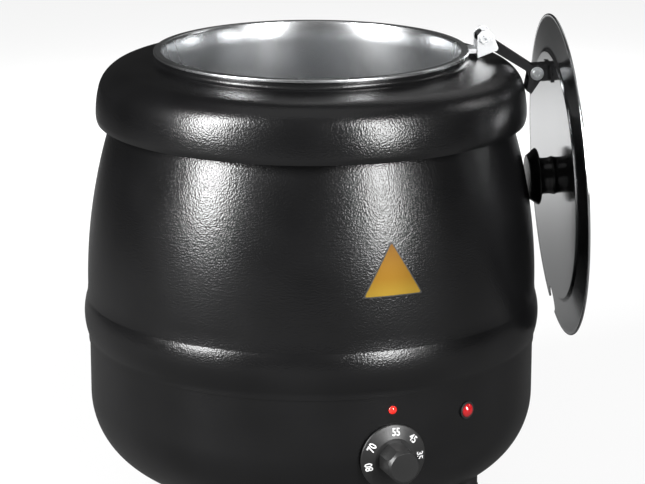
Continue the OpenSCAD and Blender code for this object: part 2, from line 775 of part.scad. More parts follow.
module lid_shell() color(BRIGHT_STEEL) {
  lid_frame() difference() {
    turned(concat(
      [[knob_screw_r + slip_gap, lid_panel_h], [lid_panel_r - 1.5, lid_panel_h], [lid_panel_r, lid_panel_h - 0.3]],
      [[lid_panel_r + 1.2, lid_panel_h - 1.2], [lid_panel_r + 3, lid_panel_h - 1.6], [lid_slope_out, lid_edge_z]],
      arc([lid_r - bead_round, lid_edge_z - 0.5], bead_round, 110, -180, 10),
      [[lid_slope_out, lid_edge_z - lid_t], [lid_panel_r + 3, lid_panel_h - 1.6 - lid_t]],
      [[lid_panel_r + 0.6, lid_panel_h - 1.2 - lid_t], [lid_panel_r - 0.6, lid_panel_h - lid_t]],
      [[knob_screw_r + slip_gap, lid_panel_h - lid_t]]
    ));
    rotate([0, 0, 180 - notch_az]) translate([0, 0, -10]) linear_extrude(height = 30) {
      translate([lid_r - notch_depth + notch_w / 2, 0]) circle(d = notch_w, $fn = fn_mid);
      translate([lid_r - notch_depth + notch_w / 2, -notch_w / 2]) square([30, notch_w]);
    }
  }
}

module lid_bolt() color(BRIGHT_STEEL) {
  lid_frame() cross_bolt(lid_pivot, pivot_r, -link_w / 2 - seat_gap - 1, link_w / 2 + seat_gap + nut_h + 0.8, 3.6, 2.4);
}

module lid_washer() color(BRIGHT_STEEL) {
  lid_frame() translate([lid_pivot[0], -link_w / 2 - seat_gap - 1, lid_pivot[1]]) rotate([-90, 0, 0]) difference() {
    cylinder(r = 5, h = 1, $fn = fn_small);
    translate([0, 0, -1]) cylinder(r = pivot_r + fit_gap, h = 3, $fn = fn_small);
  }
}

module lid_nut() color(BRIGHT_STEEL) {
  lid_frame() cross_nut(lid_pivot, pivot_r + fit_gap, 7, link_w / 2 + seat_gap, nut_h);
}

stem_r = 13.6;
tip_r = knob_r - 6;
insert_h = 14;

module lid_knob() color(BLACK_PLASTIC) {
  lid_frame() translate([0, 0, lid_panel_h]) turned(concat(
    [[knob_screw_r + fit_gap, 0], [stem_r + 0.9, 0], [stem_r + 0.2, 2.4]],
    flip(arc([stem_r + 10, 6], 10, 180 - 58, 180, 7)),
    [[knob_r - 0.3, knob_h - 7.6], [knob_r, knob_h - 7], [knob_r, knob_h - 6]],
    [[tip_r + 1, knob_h - 0.4], [tip_r, knob_h], [0, knob_h], [0, insert_h], [knob_screw_r + fit_gap, insert_h]]
  ), 96);
}

module knob_washer() color(BRIGHT_STEEL) {
  lid_frame() translate([0, 0, lid_panel_h - lid_t - 1.2]) difference() {
    cylinder(r = 7, h = 1.2, $fn = fn_small);
    translate([0, 0, -1]) cylinder(r = knob_screw_r + fit_gap, h = 4, $fn = fn_small);
  }
}

module knob_screw() color(BRIGHT_STEEL) {
  lid_frame() translate([0, 0, lid_panel_h - lid_t - 1.2]) {
    cylinder(r = knob_screw_r, h = lid_t + 1.2 + insert_h - 1, $fn = fn_small);
    translate([0, 0, -2.6]) cylinder(r1 = 3.8, r2 = 4.5, h = 2.6, $fn = fn_small);
  }
}

// ---------------------------------------------------------------- Dial

skirt_h = 4.6;
recess_h = 2.6;
spigot_r = 5.5;

module dial_skirt() color(BLACK_PLASTIC) {
  dial_frame() turned([
    [spigot_r + fit_gap, recess_h], [dial_r - 3, recess_h], [dial_r - 2, 0], [dial_r, 0],
    [dial_r, 1], [dial_r - 0.8, 1.9], [grip_r + 2.5, skirt_h], [spigot_r + fit_gap, skirt_h]
  ], 96);
}

module dial_grip() color(BLACK_PLASTIC) {
  dial_frame() difference() {
    union() {
      translate([0, 0, recess_h]) cylinder(r = spigot_r, h = skirt_h - recess_h, $fn = fn_small);
      intersection() {
        translate([0, 0, skirt_h]) rotate([0, 0, 22.5]) cylinder(r = grip_r, h = dial_h - skirt_h, $fn = 8);
        turned([[0, skirt_h], [grip_r + 1, skirt_h], [grip_r - 0.4, dial_h - 3], [grip_r - 2.2, dial_h], [0, dial_h]], fn_mid);
      }
    }
    translate([0, 0, recess_h - 1]) cylinder(r = shaft_r + fit_gap, h = 12, $fn = fn_small);
  }
}

module dial_shaft() color(BRIGHT_STEEL) {
  dial_frame() translate([0, 0, -box_face - shaft_in + 1])
    cylinder(r = shaft_r, h = box_face + shaft_in - 1 + recess_h + 10.6, $fn = fn_small);
}

// ---------------------------------------------------------------- Nodes

upper_shell();
lower_bowl();
shoulder_cover();
collar_ring();
water_well();
well_gasket();
insulation_blanket();
heater_plate();
heater_element();
heater_clamp();
clamp_nut();
thermal_cutout();
thermostat_body();
thermostat_nut();
sensor_bulb();
terminal_block();
pilot_lamp_body();
pilot_lamp_lens();
pilot_lamp_nut();
index_jewel();
cord_gland();
gland_nut();
bottom_cover();
bottom_screws();
foot_front_right();
foot_back_right();
foot_back_left();
foot_front_left();
foot_screws();
foot_nuts();
soup_pot();
rim_clip();
clip_bolt();
clip_nut();
hinge_link();
lid_shell();
lid_bracket();
lid_bolt();
lid_washer();
lid_nut();
lid_knob();
knob_screw();
knob_washer();
dial_skirt();
dial_grip();
dial_shaft();
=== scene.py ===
"""Finishes, smooth shells and small parts of a soup kettle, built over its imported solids."""

import json
import logging
import math
from dataclasses import dataclass
from enum import Enum

import bpy
from mathutils import Matrix, Vector

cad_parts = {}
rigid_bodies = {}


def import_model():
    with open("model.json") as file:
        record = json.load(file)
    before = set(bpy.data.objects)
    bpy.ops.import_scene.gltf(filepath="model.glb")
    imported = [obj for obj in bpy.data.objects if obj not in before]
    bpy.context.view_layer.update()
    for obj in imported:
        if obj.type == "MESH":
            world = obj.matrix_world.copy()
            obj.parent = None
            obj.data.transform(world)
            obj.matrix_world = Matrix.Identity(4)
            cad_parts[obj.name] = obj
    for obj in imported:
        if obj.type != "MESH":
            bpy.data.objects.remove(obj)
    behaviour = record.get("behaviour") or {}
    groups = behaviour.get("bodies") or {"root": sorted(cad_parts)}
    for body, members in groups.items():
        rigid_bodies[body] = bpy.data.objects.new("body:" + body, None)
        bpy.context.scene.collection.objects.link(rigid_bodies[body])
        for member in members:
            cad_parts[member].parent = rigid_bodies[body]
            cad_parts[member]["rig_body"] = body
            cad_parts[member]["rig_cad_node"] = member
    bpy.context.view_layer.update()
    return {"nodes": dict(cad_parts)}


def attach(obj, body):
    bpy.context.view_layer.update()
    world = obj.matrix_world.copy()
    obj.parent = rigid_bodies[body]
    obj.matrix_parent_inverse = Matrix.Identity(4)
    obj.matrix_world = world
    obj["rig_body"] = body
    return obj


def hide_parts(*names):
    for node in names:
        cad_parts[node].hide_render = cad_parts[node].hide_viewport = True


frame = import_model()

LOG = logging.getLogger("soup_kettle")
MM = 0.001
WELD = 0.002 * MM
SHEET_ANGLE = 32.0
EDGE_ANGLE = 40.0
MOULDED_ANGLE = 42.0
UPRIGHT = Matrix.Identity(4).freeze()

Point = tuple[float, float]
Colour = tuple[float, float, float]


# ------------------------------------------------------------------ finishes


class Network:
    """The nodes of one material or world, and the links between them."""

    def __init__(self, owner: bpy.types.Material | bpy.types.World) -> None:
        """Switches the owner's nodes on."""
        owner.use_nodes = True
        self.tree = owner.node_tree

    def put(self, node: bpy.types.Node, inputs: dict[str | int, object]) -> None:
        """Fills a node's inputs.

        Args:
            node: The node to fill.
            inputs: For each input, a value to set or another node's output to link.
        """
        for name, value in inputs.items():
            if isinstance(value, bpy.types.NodeSocket):
                self.tree.links.new(value, node.inputs[name])
            else:
                node.inputs[name].default_value = value

    def own(self, name: str, inputs: dict[str | int, object]) -> bpy.types.Node:
        """Fills a node that the tree has from the start.

        Args:
            name: The node's name.
            inputs: Its inputs, as for put.

        Returns:
            The node.
        """
        self.put(self.tree.nodes[name], inputs)
        return self.tree.nodes[name]

    def add(self, kind: str, inputs: dict[str | int, object] | None = None) -> bpy.types.Node:
        """Adds a node.

        Args:
            kind: The node's type, without the word that all of them start with.
            inputs: Its inputs, as for put.

        Returns:
            The node.
        """
        node = self.tree.nodes.new("ShaderNode" + kind)
        self.put(node, inputs or {})
        return node


class Grain(Enum):
    """The fine relief of a finish, with how far each kind is drawn out along X, Y and Z."""

    WRINKLE = ("wrinkle", (1.0, 1.0, 1.0))
    SPUN = ("spun", (0.04, 0.04, 1.0))
    DRAWN = ("drawn", (0.03, 1.0, 1.0))
    MOULDED = ("moulded", (1.0, 1.0, 1.0))
    FIBRE = ("fibre", (1.0, 1.0, 1.0))

    @property
    def stretch(self) -> tuple[float, float, float]:
        """Scale of the relief along X, Y and Z."""
        return self.value[1]

    @property
    def detail(self) -> float:
        """How many finer layers the relief's noise has."""
        return 3.0 if self is Grain.FIBRE else 1.0


@dataclass(frozen=True)
class Finish:
    """A procedural finish, which varies in broad patches and has a fine relief."""

    name: str
    dark: Colour
    light: Colour
    rough_low: float
    rough_high: float
    grain: Grain = Grain.MOULDED
    metallic: float = 0.0
    grain_scale: float = 900.0
    relief: float = 0.1
    relief_mm: float = 0.1
    coat: float = 0.0
    coat_rough: float = 0.1
    glow: float = 0.0
    patch_scale: float = 18.0
    patch_detail: float = 1.5
    patch_low: float = 0.3
    patch_high: float = 0.7

    def material(self) -> bpy.types.Material:
        """Makes the node material.

        Returns:
            The material, made once for each finish.
        """
        made = bpy.data.materials.get(self.name)
        if made:
            return made
        made = bpy.data.materials.new(self.name)
        net = Network(made)
        place = net.add("TexCoord").outputs["Object"]
        patch = net.add("TexNoise", {
            "Vector": place, "Scale": self.patch_scale, "Detail": self.patch_detail,
        }).outputs["Fac"]
        colour = net.add("ValToRGB", {"Fac": patch})
        low, high = colour.color_ramp.elements
        low.position, low.color = self.patch_low, (*self.dark, 1.0)
        high.position, high.color = self.patch_high, (*self.light, 1.0)
        rough = net.add("MapRange", {
            "Value": patch, "From Min": self.patch_low, "From Max": self.patch_high,
            "To Min": self.rough_low, "To Max": self.rough_high,
        })
        bump = net.add("Bump", {
            "Strength": self.relief, "Distance": self.relief_mm * MM,
            "Height": self.height(net, place),
        })
        net.own("Principled BSDF", {
            "Base Color": colour.outputs["Color"], "Roughness": rough.outputs["Result"],
            "Normal": bump.outputs["Normal"], "Metallic": self.metallic,
            "Coat Weight": self.coat, "Coat Roughness": self.coat_rough,
            "Emission Color": (*self.light, 1.0), "Emission Strength": self.glow,
        })
        return made

    def height(self, net: Network, place: bpy.types.NodeSocket) -> bpy.types.NodeSocket:
        """Makes the height of the fine relief.

        Args:
            net: The material's nodes.
            place: The object coordinates.

        Returns:
            The socket that gives the height.
        """
        drawn = net.add("Mapping", {"Vector": place, "Scale": self.grain.stretch})
        inputs = {"Vector": drawn.outputs["Vector"], "Scale": self.grain_scale}
        if self.grain is Grain.WRINKLE:
            cells = net.add("TexVoronoi")
            cells.feature = "SMOOTH_F1"
            net.put(cells, inputs)
            return cells.outputs["Distance"]
        return net.add("TexNoise", {**inputs, "Detail": self.grain.detail}).outputs["Fac"]


POWDER_COAT = Finish(
    "powder_coat", (0.003, 0.003, 0.0032), (0.005, 0.005, 0.0053), 0.22, 0.26,
    Grain.WRINKLE, grain_scale=940.0, relief=1.0, relief_mm=0.155,
)
POLISHED_STEEL = Finish(
    "polished_steel", (0.65, 0.66, 0.67), (0.70, 0.71, 0.72), 0.12, 0.15,
    Grain.SPUN, metallic=1.0, grain_scale=2600.0, relief=0.12, relief_mm=0.02,
)
SPUN_STEEL = Finish(
    "spun_steel", (0.60, 0.61, 0.62), (0.64, 0.65, 0.66), 0.25, 0.28,
    Grain.SPUN, metallic=1.0, grain_scale=2400.0, relief=0.25, relief_mm=0.04,
)
HINGE_STEEL = Finish(
    "hinge_steel", (0.60, 0.61, 0.62), (0.70, 0.71, 0.72), 0.10, 0.18,
    Grain.DRAWN, metallic=1.0, grain_scale=2400.0, relief=0.12, relief_mm=0.02,
)
# Polished steel painted dark: the dark colour is a painted reflection of the black body, which the
# link and the lid bracket mirror.
LINK_STEEL_PAINTED_REFLECTION = Finish(
    "link_steel_painted_reflection", (0.07, 0.07, 0.073), (0.11, 0.11, 0.114), 0.12, 0.2,
    Grain.DRAWN, metallic=1.0, grain_scale=2400.0, relief=0.12, relief_mm=0.02,
)
HARDWARE_STEEL = Finish(
    "hardware_steel", (0.52, 0.53, 0.55), (0.64, 0.65, 0.66), 0.16, 0.28,
    metallic=1.0, grain_scale=1500.0, relief=0.1, relief_mm=0.02,
)
PLAIN_STEEL = Finish(
    "plain_steel", (0.18, 0.18, 0.19), (0.30, 0.30, 0.31), 0.35, 0.5,
    Grain.DRAWN, metallic=1.0, grain_scale=1400.0, relief=0.2, relief_mm=0.04,
)
HEATER_SHEATH = Finish(
    "heater_sheath", (0.06, 0.055, 0.05), (0.14, 0.13, 0.12), 0.4, 0.6,
    metallic=0.8, grain_scale=900.0, relief=0.3, relief_mm=0.06,
)
CAST_ALUMINIUM = Finish(
    "cast_aluminium", (0.48, 0.49, 0.5), (0.62, 0.63, 0.64), 0.38, 0.52,
    metallic=1.0, grain_scale=700.0, relief=0.4, relief_mm=0.1,
)
BAKELITE = Finish(
    "bakelite", (0.005, 0.005, 0.005), (0.008, 0.008, 0.008), 0.22, 0.30,
    grain_scale=420.0, relief=0.05, relief_mm=0.05, coat=0.15, coat_rough=0.22,
)
DIAL_PLASTIC = Finish(
    "dial_plastic", (0.010, 0.010, 0.010), (0.016, 0.016, 0.016), 0.34, 0.44,
    grain_scale=900.0, relief=0.2, relief_mm=0.05,
)
NYLON = Finish(
    "nylon", (0.010, 0.010, 0.010), (0.018, 0.018, 0.018), 0.42, 0.55,
    grain_scale=800.0, relief=0.2, relief_mm=0.05,
)
FOOT_RUBBER = Finish(
    "foot_rubber", (0.008, 0.008, 0.008), (0.015, 0.015, 0.015), 0.32, 0.48,
    grain_scale=600.0, relief=0.15, relief_mm=0.05,
)
LAMP_RED = Finish(
    "lamp_red", (0.34, 0.006, 0.010), (0.50, 0.012, 0.014), 0.10, 0.18,
    grain_scale=500.0, relief=0.35, relief_mm=0.3, coat=1.0, coat_rough=0.05,
)
# The index jewel is a red bead and no lamp; its glow is painted light that makes it look lit.
GLOWING_JEWEL_RED = Finish(
    "jewel_red_painted_glow", (0.80, 0.012, 0.010), (0.95, 0.03, 0.02), 0.10, 0.16,
    grain_scale=400.0, relief=0.1, relief_mm=0.1, coat=1.0, coat_rough=0.05, glow=0.25,
)
WOOL = Finish(
    "mineral_wool", (0.42, 0.38, 0.26), (0.62, 0.58, 0.44), 0.85, 1.0,
    Grain.FIBRE, grain_scale=300.0, relief=0.9, relief_mm=1.0,
)
SILICONE = Finish(
    "silicone", (0.36, 0.10, 0.05), (0.46, 0.14, 0.08), 0.45, 0.6,
    grain_scale=500.0, relief=0.1, relief_mm=0.05,
)
CERAMIC = Finish(
    "cream_ceramic", (0.62, 0.58, 0.46), (0.74, 0.70, 0.58), 0.35, 0.5,
    grain_scale=700.0, relief=0.2, relief_mm=0.05,
)
COPPER = Finish(
    "drawn_copper", (0.50, 0.22, 0.12), (0.66, 0.34, 0.20), 0.2, 0.34,
    Grain.DRAWN, metallic=1.0, grain_scale=1500.0, relief=0.15, relief_mm=0.03,
)
NUMERAL_WHITE = Finish(
    "numeral_white", (0.72, 0.72, 0.72), (0.82, 0.82, 0.82), 0.45, 0.6,
    grain_scale=1500.0, relief=0.2, relief_mm=0.02,
)


@dataclass(frozen=True)
class GoldFoil:
    """A gold foil that goes from brown at its top to yellow at its bottom."""

    name: str = "gold_foil"
    top: Colour = (0.09, 0.04, 0.004)
    middle: Colour = (0.2, 0.1, 0.008)
    bottom: Colour = (0.34, 0.23, 0.028)
    low_z: float = 0.185
    high_z: float = 0.226
    middle_share: float = 0.45
    metallic: float = 0.6
    ior: float = 1.3
    rough_low: float = 0.3
    rough_high: float = 0.46
    grain_scale: float = 900.0
    relief: float = 0.1
    relief_mm: float = 0.05

    def material(self) -> bpy.types.Material:
        """Makes the foil's node material.

        Returns:
            The material.
        """
        made = bpy.data.materials.new(self.name)
        net = Network(made)
        place = net.add("TexCoord").outputs["Object"]
        split = net.add("SeparateXYZ", {"Vector": place})
        height = net.add("MapRange", {
            "Value": split.outputs["Z"], "From Min": self.low_z, "From Max": self.high_z,
        })
        colour = net.add("ValToRGB", {"Fac": height.outputs["Result"]})
        colour.color_ramp.elements[0].color = (*self.bottom, 1.0)
        colour.color_ramp.elements[1].color = (*self.top, 1.0)
        colour.color_ramp.elements.new(self.middle_share).color = (*self.middle, 1.0)
        grain = net.add("TexNoise", {"Vector": place, "Scale": self.grain_scale}).outputs["Fac"]
        rough = net.add("MapRange", {
            "Value": grain, "To Min": self.rough_low, "To Max": self.rough_high,
        })
        bump = net.add("Bump", {
            "Height": grain, "Strength": self.relief, "Distance": self.relief_mm * MM,
        })
        net.own("Principled BSDF", {
            "Base Color": colour.outputs["Color"], "Roughness": rough.outputs["Result"],
            "Normal": bump.outputs["Normal"], "Metallic": self.metallic, "IOR": self.ior,
        })
        return made


# ------------------------------------------------------------------ modelling tools


def deselect() -> None:
    """Leaves edit mode and deselects everything."""
    if bpy.context.object and bpy.context.object.mode != "OBJECT":
        bpy.ops.object.mode_set(mode="OBJECT")
    bpy.ops.object.select_all(action="DESELECT")


def activate(piece: bpy.types.Object) -> None:
    """Selects one piece alone and makes it active.

    Args:
        piece: The piece.
    """
    deselect()
    piece.select_set(True)
    bpy.context.view_layer.objects.active = piece


def edit_all() -> None:
    """Enters edit mode with the whole mesh selected."""
    bpy.ops.object.mode_set(mode="EDIT")
    bpy.ops.mesh.select_all(action="SELECT")


def arc(centre: Point, radius: float, start: float, end: float, steps: int) -> list[Point]:
    """Gives points along a circle.

    Args:
        centre: The circle's centre.
        radius: Its radius.
        start: The first angle in degrees.
        end: The last angle in degrees.
        steps: How many steps lie between them.

    Returns:
        The points, from the first angle to the last.
    """
    angles = [math.radians(start + (end - start) * i / steps) for i in range(steps + 1)]
    return [(centre[0] + radius * math.cos(a), centre[1] + radius * math.sin(a)) for a in angles]


def rise_angle(rise: float, radius: float) -> float:
    """Angle in degrees at which a circle of a radius reaches a rise above its middle."""
    return math.degrees(math.asin(rise / radius))


def turned(angle: float, axis: str) -> Matrix:
    """A turn by an angle in degrees about a main axis."""
    return Matrix.Rotation(math.radians(angle), 4, axis)


def moved(x_mm: float, y_mm: float, z_mm: float) -> Matrix:
    """A move by distances in mm."""
    return Matrix.Translation((x_mm * MM, y_mm * MM, z_mm * MM))


def at_azimuth(azimuth: float) -> Matrix:
    """A frame on the axis whose +X points away from it at an azimuth in degrees."""
    return turned(azimuth - 90.0, "Z")


def on_wall(azimuth: float, height: float, radius: float) -> Matrix:
    """A frame on a wall round the axis whose +Z points outwards and +Y up, sizes in mm."""
    return at_azimuth(azimuth) @ moved(radius, 0.0, height) @ turned(90.0, "Y") @ turned(90.0, "Z")


def settle(piece: bpy.types.Object, place: Matrix) -> None:
    """Moves a piece to its place and applies the move to its mesh.

    Args:
        piece: The piece.
        place: The frame that it was modelled in.
    """
    activate(piece)
    piece.matrix_world = place
    bpy.ops.object.transform_apply(location=True, rotation=True, scale=True)


def apply_modifier(piece: bpy.types.Object, kind: str, **settings: object) -> None:
    """Adds a modifier, sets it and applies it.

    Args:
        piece: The piece to change.
        kind: The modifier's type.
        settings: The modifier's settings by name.
    """
    activate(piece)
    modifier = piece.modifiers.new(kind.lower(), kind)
    for name, value in settings.items():
        setattr(modifier, name, value)
    bpy.ops.object.modifier_apply(modifier=modifier.name)


def smooth(piece: bpy.types.Object, sharp_angle: float = SHEET_ANGLE, weight: int = 60) -> None:
    """Shades a piece smooth.

    Args:
        piece: The piece.
        sharp_angle: Edges sharper than this, in degrees, stay sharp.
        weight: How strongly large faces set the shading of the edges.
    """
    activate(piece)
    bpy.ops.object.shade_smooth_by_angle(angle=math.radians(sharp_angle))
    apply_modifier(piece, "WEIGHTED_NORMAL", keep_sharp=True, weight=weight)


def spun(name: str, outline: list[Point], place: Matrix = UPRIGHT, steps: int = 192,
         closed: bool = True, sharp_angle: float = SHEET_ANGLE) -> bpy.types.Object:
    """Extrudes an outline point by point and spins it round the Z axis.

    Args:
        name: The piece's name.
        outline: Points in radius and height, in mm.
        place: The frame that the piece is spun in.
        steps: How many steps the spin has.
        closed: Whether the last point is joined to the first.
        sharp_angle: Edges sharper than this, in degrees, stay sharp.

    Returns:
        The finished piece.
    """
    deselect()
    bpy.ops.mesh.primitive_plane_add(size=MM)
    piece = bpy.context.object
    piece.name = name
    edit_all()
    bpy.ops.mesh.merge(type="CENTER")
    bpy.ops.transform.translate(value=(outline[0][0] * MM, 0.0, outline[0][1] * MM))
    path = outline + [outline[0]] if closed else outline
    for before, after in zip(path, path[1:]):
        step = ((after[0] - before[0]) * MM, 0.0, (after[1] - before[1]) * MM)
        bpy.ops.mesh.extrude_vertices_move(TRANSFORM_OT_translate={"value": step})
    bpy.ops.mesh.select_all(action="SELECT")
    bpy.ops.mesh.remove_doubles(threshold=WELD)
    bpy.ops.mesh.select_all(action="SELECT")
    bpy.ops.mesh.spin(steps=steps, angle=math.tau, center=(0.0, 0.0, 0.0), axis=(0.0, 0.0, 1.0))
    bpy.ops.mesh.select_all(action="SELECT")
    bpy.ops.mesh.remove_doubles(threshold=WELD)
    bpy.ops.mesh.normals_make_consistent(inside=False)
    deselect()
    settle(piece, place)
    smooth(piece, sharp_angle)
    return piece


def softened(node: str, name: str, edge_mm: float, segments: int = 2, flat_angle: float = 0.6,
             edge_angle: float = 28.0, sharp_angle: float = EDGE_ANGLE) -> bpy.types.Object:
    """Copies a CAD node, merges it and rounds its edges.

    Args:
        node: The node's name.
        name: The piece's name.
        edge_mm: The width of the rounding in mm.
        segments: How many steps the rounding has.
        flat_angle: Faces that meet at less than this, in degrees, become one.
        edge_angle: Edges sharper than this, in degrees, are rounded.
        sharp_angle: Edges that are still sharper than this, in degrees, stay sharp.

    Returns:
        The piece, which rides on nothing yet.
    """
    activate(frame["nodes"][node])
    bpy.ops.object.duplicate()
    piece = bpy.context.object
    piece.parent = None
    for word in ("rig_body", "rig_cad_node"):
        del piece[word]
    piece.name = name
    edit_all()
    bpy.ops.mesh.remove_doubles(threshold=WELD)
    bpy.ops.mesh.dissolve_limited(angle_limit=math.radians(flat_angle))
    deselect()
    apply_modifier(
        piece, "BEVEL", width=edge_mm * MM, segments=segments, limit_method="ANGLE",
        angle_limit=math.radians(edge_angle), use_clamp_overlap=True, harden_normals=False,
    )
    smooth(piece, sharp_angle)
    return piece


def dress_node(node: str, finish: Finish) -> None:
    """Gives a CAD node that stays in view one finish.

    Args:
        node: The node's name.
        finish: The finish.
    """
    shown = frame["nodes"][node]
    for place in shown.material_slots:
        place.material = finish.material()
    if not shown.material_slots:
        shown.data.materials.append(finish.material())
    LOG.info("%s dressed as %s", node, finish.name)


def fit(piece: bpy.types.Object, body: str, slot: str, finish: Finish | GoldFoil,
        *nodes: str) -> None:
    """Dresses a finished piece and puts it on its body.

    Args:
        piece: The piece.
        body: The CAD body that it rides on.
        slot: The record's material slot; not used.
        finish: The piece's finish.
        nodes: The CAD nodes that it stands for.
    """
    piece.data.materials.clear()
    piece.data.materials.append(finish.material())
    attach(piece, body)
    if nodes:
        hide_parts(*nodes)
    LOG.info("%s rides on %s: %d faces", piece.name, body, len(piece.data.polygons))


# ------------------------------------------------------------------ body


@dataclass
class Body:
    """The coated shells: lower bowl, upper shell with its bead, shoulder cover and collar.

    Sizes are in mm and angles in degrees, here and in every other class of pieces.
    """

    sheet_t: float = 1.2
    # Lower bowl, from the hatch in its floor to the joggle that the upper shell sits on.
    foot_h: float = 15.0
    hatch_r: float = 88.0
    bowl_r: float = 168.0
    bowl_round: float = 60.0
    bowl_h: float = 102.2
    bowl_edge: float = 2.0
    joggle_gap: float = 0.3
    joggle_h: float = 15.0
    # Upper shell: a lip over the seam, the bead, the barrel and the deck under the shoulder.
    lip_out: float = 0.8
    lip_h: float = 2.3
    barrel_h: float = 167.2
    barrel_out: float = 0.7
    barrel_in: float = 19.8
    barrel_mid: float = 42.8
    barrel_start: float = 1.5
    bead_out: float = 3.0
    bead_curve_r: float = 45.0
    bead_mid: float = 20.3
    bead_start: float = 4.3
    bead_end: float = 14.6
    deck_in: float = 13.1
    deck_round: float = 10.0
    deck_gap: float = 2.4
    well_r: float = 124.0
    well_gap: float = 2.5
    # Shoulder cover: a sloped top, a rounded corner, a full side and a hem turned under.
    shoulder_r: float = 160.4
    shoulder_side_r: float = 78.0
    shoulder_turn: float = 14.5
    side_share: float = 0.92
    shoulder_round: float = 21.8
    shoulder_drop: float = 5.0
    shoulder_slope: float = 7.2
    hem_round: float = 15.0
    hem_start: float = -2.0
    hem_gap: float = 0.3
    # Collar: a band with a cove at its foot and a rounded edge.
    collar_r: float = 115.4
    collar_gap: float = 0.1
    collar_t: float = 2.6
    collar_h: float = 5.0
    collar_tail: float = 4.5
    collar_edge: float = 0.5
    cove_round: float = 2.8
    cove_edge: float = 0.5
    cove_seat: float = 0.6
    cove_start: float = 268.0

    def __post_init__(self) -> None:
        """Works out the places that follow from the sizes."""
        self.seam_z = self.foot_h + self.bowl_h
        self.edge_z = self.seam_z + self.barrel_h
        self.bowl_centre_z = self.foot_h + self.bowl_round
        self.barrel_r = self.bowl_r + self.barrel_out
        self.barrel_mid_z = self.seam_z + self.barrel_mid
        rise, inwards = self.edge_z - self.barrel_mid_z, self.barrel_in
        self.barrel_curve_r = (rise * rise + inwards * inwards) / (2.0 * inwards)
        self.bead_z = self.seam_z + self.bead_mid
        self.shoulder_z = self.edge_z + self.shoulder_drop
        self.side = (self.shoulder_r - self.shoulder_side_r, self.shoulder_z)
        reach = self.shoulder_side_r - self.shoulder_round
        turn = math.radians(self.shoulder_turn)
        self.corner = (self.side[0] + reach * math.cos(turn), self.side[1] + reach * math.sin(turn))
        self.collar_foot_z = self.shoulder_top(self.collar_r)
        self.collar_top_z = self.collar_foot_z + self.collar_h

    def shoulder_top(self, radius: float) -> float:
        """Finds the height of the shoulder's top.

        Args:
            radius: The distance from the axis in mm.

        Returns:
            The height in mm.
        """
        slope = math.radians(self.shoulder_slope)
        reach = self.corner[0] + self.shoulder_round * math.sin(slope)
        crest = self.corner[1] + self.shoulder_round * math.cos(slope)
        return crest + (reach - radius) * math.tan(slope)

    def barrel_at(self, height: float) -> float:
        """Outer radius of the barrel at a height, in mm."""
        drop = height - self.barrel_mid_z
        return self.barrel_r - self.barrel_curve_r + math.sqrt(self.barrel_curve_r**2 - drop * drop)

    def shell_line(self, inset: float) -> list[Point]:
        """Draws the upper shell from its lip up to the deck under the shoulder.

        Args:
            inset: How deep the line lies inside the outer face, in mm.

        Returns:
            The line's points.
        """
        lip_r = self.bowl_r + self.lip_out
        bead = (self.barrel_r + self.bead_out - self.bead_curve_r, self.bead_z)
        barrel = (self.barrel_r - self.barrel_curve_r, self.barrel_mid_z)
        low = -rise_angle(self.bead_z - self.seam_z - self.bead_start, self.bead_curve_r)
        high = rise_angle(self.bead_end, self.bead_curve_r)
        foot = -rise_angle(self.barrel_start, self.barrel_curve_r)
        top = rise_angle(self.edge_z - self.barrel_mid_z, self.barrel_curve_r)
        under = self.shoulder_top(self.well_r + self.deck_round)
        deck_z = under - self.sheet_t / math.cos(math.radians(self.shoulder_slope)) - self.deck_gap
        bend = (self.barrel_at(self.edge_z) - self.deck_in, deck_z - self.deck_round)
        return (
            [(lip_r - inset, self.seam_z), (lip_r - inset, self.seam_z + self.lip_h)]
            + arc(bead, self.bead_curve_r - inset, low, high, 24)
            + arc(barrel, self.barrel_curve_r - inset, foot, top, 30)
            + arc(bend, self.deck_round - inset, 0.0, 90.0, 10)
            + [(self.well_r + self.well_gap, deck_z - inset)]
        )

    def bowl_line(self, inset: float) -> list[Point]:
        """Draws the lower bowl from its hatch up to the joggle inside the upper shell.

        Args:
            inset: How deep the line lies inside the outer face, in mm.

        Returns:
            The line's points.
        """
        joggle = self.bowl_r + self.lip_out - self.sheet_t - self.joggle_gap
        bend = (self.bowl_r - self.bowl_round, self.bowl_centre_z)
        wall_r, edge_z = self.bowl_r - inset, self.seam_z - inset
        return (
            [(self.hatch_r, self.foot_h + inset)]
            + arc(bend, self.bowl_round - inset, -90.0, 0.0, 36)
            + [(wall_r, edge_z - self.bowl_edge), (wall_r, edge_z)]
            + [(joggle - inset, edge_z), (joggle - inset, self.seam_z + self.joggle_h)]
        )

    def shoulder_line(self, inset: float) -> list[Point]:
        """Draws the shoulder cover from the collar out to the hem.

        Args:
            inset: How deep the line lies inside the outer face, in mm.

        Returns:
            The line's points.
        """
        slope, turn = self.shoulder_slope, self.shoulder_turn
        hem = (self.shoulder_r - self.hem_round, self.shoulder_z)
        start = self.collar_r + self.collar_gap
        start_z = self.shoulder_top(start) - inset / math.cos(math.radians(slope))
        low = -rise_angle(self.shoulder_drop - inset, self.hem_round - inset)
        return (
            [(start, start_z)]
            + arc(self.corner, self.shoulder_round - inset, 90.0 - slope, turn, 30)
            + arc(self.side, self.shoulder_side_r - inset, self.side_share * turn, 0.0, 12)
            + arc(hem, self.hem_round - inset, self.hem_start, low, 9)
            + [(self.barrel_at(self.edge_z) + self.hem_gap, self.edge_z + inset)]
        )

